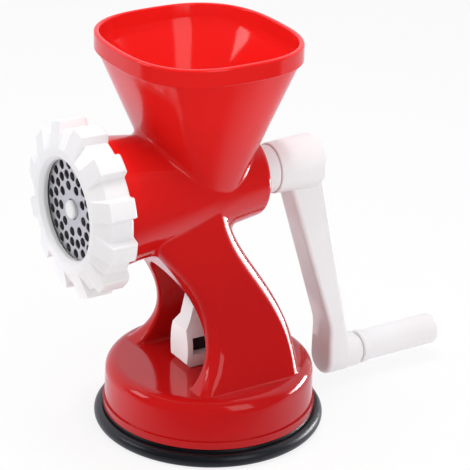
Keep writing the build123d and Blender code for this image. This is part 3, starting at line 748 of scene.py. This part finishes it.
def pad_shape(values):
    """The pad's section turned round the upright axis."""
    shape = bmesh.new()
    verts = [shape.verts.new((radius, 0.0, height)) for radius, height in pad_outline(values)]
    edges = [shape.edges.new(pair) for pair in zip(verts, verts[1:])]
    bmesh.ops.spin(
        shape, geom=verts + edges, cent=(0.0, 0.0, 0.0), axis=(0.0, 0.0, 1.0), angle=2 * math.pi,
        steps=PAD_STEPS, use_merge=True,
    )
    bmesh.ops.remove_doubles(shape, verts=shape.verts, dist=MERGE)
    return shape


class GRINDER_OT_suction(bpy.types.Operator):
    """Suction pad, pull plate, stem and lever"""

    bl_idname = "grinder.suction"
    bl_label = "Suction foot"

    def execute(self, context):
        edges = context.scene.grinder_edges
        shape = pad_shape(context.scene.grinder_pad)
        finish_piece(shape, "pad_moulded", rubber_material(), "suction_pad")
        dress("pull_plate", grey_material())
        dress("thrust_washer", grey_material())
        dress("pull_stem", black_material())
        softened_copy(
            "lever_moulded", "suction_lever", white_material(), edges.lever,
            MOULDED_SEGMENTS,
        )
        return {"FINISHED"}


def mirrored_rays(tree, place, path):
    """1 on rays that gloss mirrors or that pass through, and 0 on all others."""
    return calculate(
        tree, "MAXIMUM", place, path.outputs["Is Glossy Ray"], path.outputs["Is Transmission Ray"]
    )


def backdrop_white(tree, place, vector, fade):
    """White behind the object as the camera looks, fading to gloom in front, by a vector's direction."""
    values = stage_settings()
    ahead = add_node(tree, "ShaderNodeVectorMath", place)
    ahead.operation = "DOT_PRODUCT"
    ahead.inputs[1].default_value = (-math.sin(values.azimuth), math.cos(values.azimuth), 0.0)
    link(tree, vector, ahead.inputs[0])
    white = map_range(
        tree, (place[0] + 200, place[1]), ahead.outputs["Value"],
        From_Min=fade[0], From_Max=fade[1], To_Min=values.gloom, To_Max=1.0,
    )
    white.interpolation_type = "SMOOTHSTEP"
    return white.outputs["Result"]


def backdrop_colour(tree, place, mirrored):
    """Plain white, with the backdrop's own tint where gloss mirrors it."""
    return mix_colours(tree, place, mirrored, WHITE_LIGHT, stage_settings().backdrop)


def floor_material():
    """Pale matt white, mostly glowing as the camera sees it; gloss mirrors it as backdrop and gloom."""
    values = stage_settings()
    material, tree, shader = new_material("studio floor")
    tree.nodes.remove(shader)
    matt = add_node(
        tree, "ShaderNodeBsdfDiffuse", (-400, 0), Color=(*shaded(WHITE_LIGHT, values.floor_white), 1.0)
    )
    glow = add_node(tree, "ShaderNodeEmission", (-400, 200))
    mixed = add_node(tree, "ShaderNodeMixShader", (-100, 0))
    path = add_node(tree, "ShaderNodeLightPath", (-1400, 400))
    point = add_node(tree, "ShaderNodeTexCoord", (-1400, 0))
    mirrored = mirrored_rays(tree, (-1100, 300), path)
    far_white = backdrop_white(tree, (-1100, 0), point.outputs["Object"], FLOOR_FADE)
    strength = calculate(tree, "MAXIMUM", (-700, 200), path.outputs["Is Camera Ray"], far_white)
    link(tree, strength, glow.inputs["Strength"])
    link(tree, backdrop_colour(tree, (-700, 700), mirrored), glow.inputs["Color"])
    direct = calculate(tree, "MULTIPLY", (-900, 500), path.outputs["Is Camera Ray"], values.floor_glow)
    link(tree, calculate(tree, "MAXIMUM", (-600, 500), direct, mirrored), mixed.inputs["Fac"])
    link(tree, matt.outputs["BSDF"], mixed.inputs[1])
    link(tree, glow.outputs["Emission"], mixed.inputs[2])
    link(tree, mixed.outputs["Shader"], tree.nodes["Material Output"].inputs["Surface"])
    return material


def make_floor():
    """A wide floor that keeps the object's shadow under a share of plain white."""
    mesh = bpy.data.meshes.new("studio_floor")
    shape = bmesh.new()
    half_side = stage_settings().floor_size / 2
    bmesh.ops.create_grid(shape, x_segments=FLOOR_CELLS, y_segments=FLOOR_CELLS, size=half_side)
    shape.to_mesh(mesh)
    shape.free()
    mesh.materials.append(floor_material())
    floor = bpy.data.objects.new("studio_floor", mesh)
    bpy.context.scene.collection.objects.link(floor)


def make_world():
    """Plain light from all round, white to the camera; gloss mirrors a backdrop and a dim room."""
    values = stage_settings()
    world = bpy.data.worlds.new("studio")
    bpy.context.scene.world = world
    world.use_nodes = True
    tree = world.node_tree
    place = add_node(tree, "ShaderNodeTexCoord", (-1100, 200))
    path = add_node(tree, "ShaderNodeLightPath", (-1100, -200))
    mirrored = mirrored_rays(tree, (-900, -200), path)
    backdrop = backdrop_white(tree, (-900, 200), place.outputs["Generated"], BACKDROP_FADE)
    strength = mix_values(tree, (-400, 0), mirrored, values.room, backdrop)
    seen = calculate(tree, "MAXIMUM", (-200, 0), path.outputs["Is Camera Ray"], strength)
    background = tree.nodes["Background"]
    link(tree, backdrop_colour(tree, (-400, 400), mirrored), background.inputs["Color"])
    link(tree, seen, background.inputs["Strength"])


def soft_light(name, size, energy, spread=math.pi):
    """Light data of a soft oblong lamp, which can be gridded so that it shines forward only."""
    data = bpy.data.lights.new(name, "AREA")
    data.shape = "RECTANGLE"
    data.size, data.size_y = size
    data.energy = energy
    data.spread = spread
    return data


def narrow_light(name, cone, energy):
    """Light data of a lamp that shines in a narrow cone."""
    data = bpy.data.lights.new(name, "SPOT")
    data.spot_size = cone
    data.spot_blend = CONE_BLEND
    data.shadow_soft_size = BULB_RADIUS
    data.energy = energy
    return data


def add_lamp(data, place, aim):
    """A lamp at a place, turned to a point."""
    lamp = bpy.data.objects.new(data.name, data)
    lamp.location = place
    lamp.rotation_euler = (Vector(aim) - Vector(place)).to_track_quat("-Z", "Y").to_euler()
    lamp.visible_camera = False
    bpy.context.scene.collection.objects.link(lamp)
    return lamp


def make_lamps():
    """Wide lamps round the object, narrow ones on the hopper and the base, and a card at the right."""
    values = stage_settings()
    add_lamp(soft_light("key_lamp", KEY_SIZE, values.key), KEY_PLACE, OBJECT_MIDDLE)
    add_lamp(soft_light("fill_lamp", FILL_SIZE, values.fill), FILL_PLACE, OBJECT_MIDDLE)
    top = add_lamp(soft_light("top_lamp", TOP_SIZE, values.top), TOP_PLACE, OBJECT_MIDDLE)
    hopper_light = narrow_light("hopper_lamp", HOPPER_CONE, values.hopper)
    hopper = add_lamp(hopper_light, HOPPER_LAMP_PLACE, HOPPER_MIDDLE)
    base = add_lamp(narrow_light("base_lamp", BASE_CONE, values.base), BASE_LAMP_PLACE, BASE_FRONT)
    card = add_lamp(soft_light("edge_card", CARD_SIZE, values.card, CARD_SPREAD), CARD_PLACE, CARD_AIM)
    for lamp in (top, hopper, base):
        lamp.visible_glossy = False
    card.visible_diffuse = False


def make_camera():
    """Camera at the photograph's viewing angle."""
    values = stage_settings()
    turn, lift = values.azimuth, values.elevation
    back = Vector((math.sin(turn) * math.cos(lift), -math.cos(turn) * math.cos(lift), math.sin(lift)))
    right = Vector((math.cos(turn), math.sin(turn), 0.0))
    up = back.cross(right)
    rolled_right = right * math.cos(values.roll) + up * math.sin(values.roll)
    rolled_up = up * math.cos(values.roll) - right * math.sin(values.roll)
    data = bpy.data.cameras.new("photo_camera")
    data.lens = values.lens
    data.sensor_width = SENSOR_WIDTH
    camera = bpy.data.objects.new("photo_camera", data)
    turned = Matrix((rolled_right, rolled_up, back)).transposed().to_4x4()
    target = Vector((values.target_x, 0.0, values.target_z))
    camera.matrix_world = Matrix.Translation(target + back * values.distance) @ turned
    bpy.context.scene.collection.objects.link(camera)
    bpy.context.scene.camera = camera


class GRINDER_OT_stage(bpy.types.Operator):
    """Floor, world, lamps and camera"""

    bl_idname = "grinder.stage"
    bl_label = "Studio"

    def execute(self, context):
        make_floor()
        make_world()
        make_lamps()
        make_camera()
        context.scene.view_settings.view_transform = "Standard"
        return {"FINISHED"}


class GRINDER_PT_pieces(bpy.types.Panel):
    """The steps that dress the grinder"""

    bl_idname = "GRINDER_PT_pieces"
    bl_label = "Meat grinder"
    bl_space_type = "VIEW_3D"
    bl_region_type = "UI"
    bl_category = "Grinder"

    def draw(self, context):
        column = self.layout.column()
        for step in STEPS:
            column.operator(step.bl_idname)
        for name, group in SETTINGS.items():
            for setting in group.__annotations__:
                column.prop(getattr(context.scene, name), setting)


STEPS = (
    GRINDER_OT_moulding,
    GRINDER_OT_outlet,
    GRINDER_OT_drive,
    GRINDER_OT_grip,
    GRINDER_OT_suction,
    GRINDER_OT_stage,
)
SETTINGS = {
    "grinder_finishes": GrinderFinishes,
    "grinder_nut": GrinderNut,
    "grinder_pad": GrinderPad,
    "grinder_edges": GrinderEdges,
    "grinder_stage": GrinderStage,
}
CLASSES = (*SETTINGS.values(), *STEPS, GRINDER_PT_pieces)


def register():
    """Adds the classes and the scene's settings."""
    for item in CLASSES:
        bpy.utils.register_class(item)
    for name, group in SETTINGS.items():
        setattr(bpy.types.Scene, name, bpy.props.PointerProperty(type=group))


def unregister():
    """Takes the settings and the classes out again."""
    for name in SETTINGS:
        delattr(bpy.types.Scene, name)
    for item in reversed(CLASSES):
        bpy.utils.unregister_class(item)


def main():
    """Registers the add-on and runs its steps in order."""
    register()
    bpy.ops.grinder.moulding()
    bpy.ops.grinder.outlet()
    bpy.ops.grinder.drive()
    bpy.ops.grinder.grip()
    bpy.ops.grinder.suction()
    bpy.ops.grinder.stage()


if __name__ == "__main__":
    main()
